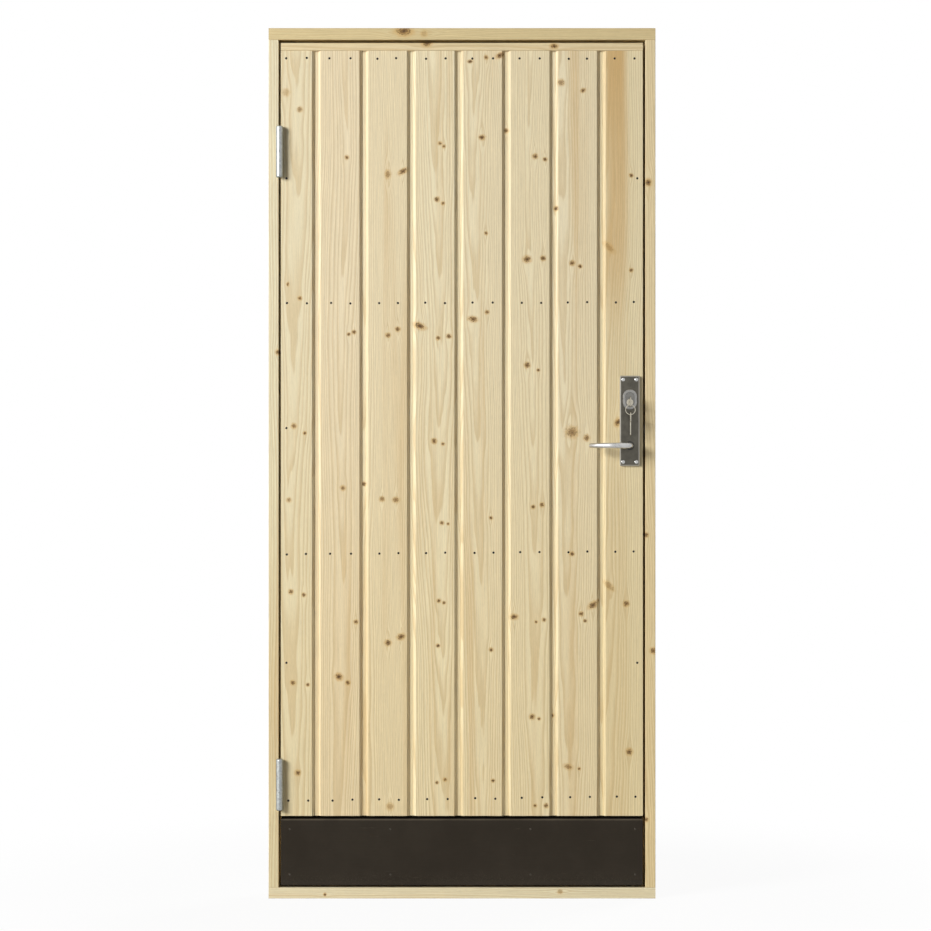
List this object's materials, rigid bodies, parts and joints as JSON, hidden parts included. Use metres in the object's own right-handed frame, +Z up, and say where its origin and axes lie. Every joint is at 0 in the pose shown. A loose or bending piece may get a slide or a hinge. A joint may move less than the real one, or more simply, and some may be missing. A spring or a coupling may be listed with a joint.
{
  "type": "shed door",
  "caption": "Outward-opening boarded pine shed door in its rebated frame, with lift-off hinges, a kick plate, lever handles, a cylinder lock and a hanging key.",
  "frame": {"origin": "middle of the sill's underside, halfway across the frame's width and depth", "axes": "+X to the right seen from outside, +Y into the building, +Z up"},
  "size_m": [0.88, 0.1792, 1.98],
  "materials": {
    "pine_frame": "planed pine, untreated",
    "pine_boards": "planed knotty pine, untreated",
    "pine_framing": "planed pine, untreated",
    "dark_sheet": "satin black-brown coated sheet",
    "zinc_steel": "dull bright zinc",
    "satin_plate": "satin nickel",
    "satin_lever": "satin",
    "dark_bushing": "matt black",
    "nickel_cylinder": "satin nickel",
    "nickel_key": "worn nickel silver"
  },
  "bodies": {
    "frame": {"hinge_jamb": "pine_frame", "lock_jamb": "pine_frame", "head": "pine_frame", "sill": "pine_frame", "upper_hinge_frame_half": "zinc_steel", "lower_hinge_frame_half": "zinc_steel", "strike_plate": "zinc_steel"},
    "leaf": {"hinge_board": "pine_boards", "board_2": "pine_boards", "board_3": "pine_boards", "board_4": "pine_boards", "board_5": "pine_boards", "board_6": "pine_boards", "board_7": "pine_boards", "lock_board": "pine_boards", "top_strip": "pine_boards", "hinge_stile": "pine_framing", "lock_stile": "pine_framing", "top_rail": "pine_framing", "upper_middle_rail": "pine_framing", "lower_middle_rail": "pine_framing", "bottom_rail": "pine_framing", "kick_board": "pine_framing", "kick_plate": "dark_sheet", "upper_hinge_leaf_half": "zinc_steel", "lower_hinge_leaf_half": "zinc_steel", "lock_case": "zinc_steel", "latch_bolt": "zinc_steel", "outside_plate": "satin_plate", "inside_plate": "satin_plate", "cylinder_ring": "nickel_cylinder", "lock_cylinder": "nickel_cylinder"},
    "handle": {"outside_lever": "satin_lever", "inside_lever": "satin_lever", "outside_bushing": "dark_bushing", "inside_bushing": "dark_bushing", "spindle": "zinc_steel"},
    "key": {"cylinder_plug": "nickel_cylinder", "door_key": "nickel_key"},
    "ring": {"key_ring": "nickel_key", "spare_key": "nickel_key"}
  },
  "joints": [
    {"name": "door_swing", "type": "hinge", "parent": "frame", "child": "leaf", "pos_m": [-0.4145, -0.055, 0.26], "axis": [0, 0, -1], "range_deg": [0, 170]},
    {"name": "lever_turn", "type": "hinge", "parent": "leaf", "child": "handle", "pos_m": [0.381, -0.046, 1.03], "axis": [0, -1, 0], "range_deg": [0, 45], "stiffness_Nm_per_rad": 1, "springref_deg": -20.05},
    {"name": "key_turn", "type": "hinge", "parent": "leaf", "child": "key", "pos_m": [0.381, -0.061, 1.1285], "axis": [0, -1, 0], "range_deg": [0, 90]},
    {"name": "ring_hang", "type": "hinge", "parent": "key", "child": "ring", "pos_m": [0.381, -0.078, 1.1185], "axis": [0, -1, 0], "range_deg": [-90, 0]}
  ],
  "couplings": [
    {"joint": "ring_hang", "follows": "key_turn", "ratio": -1}
  ]
}
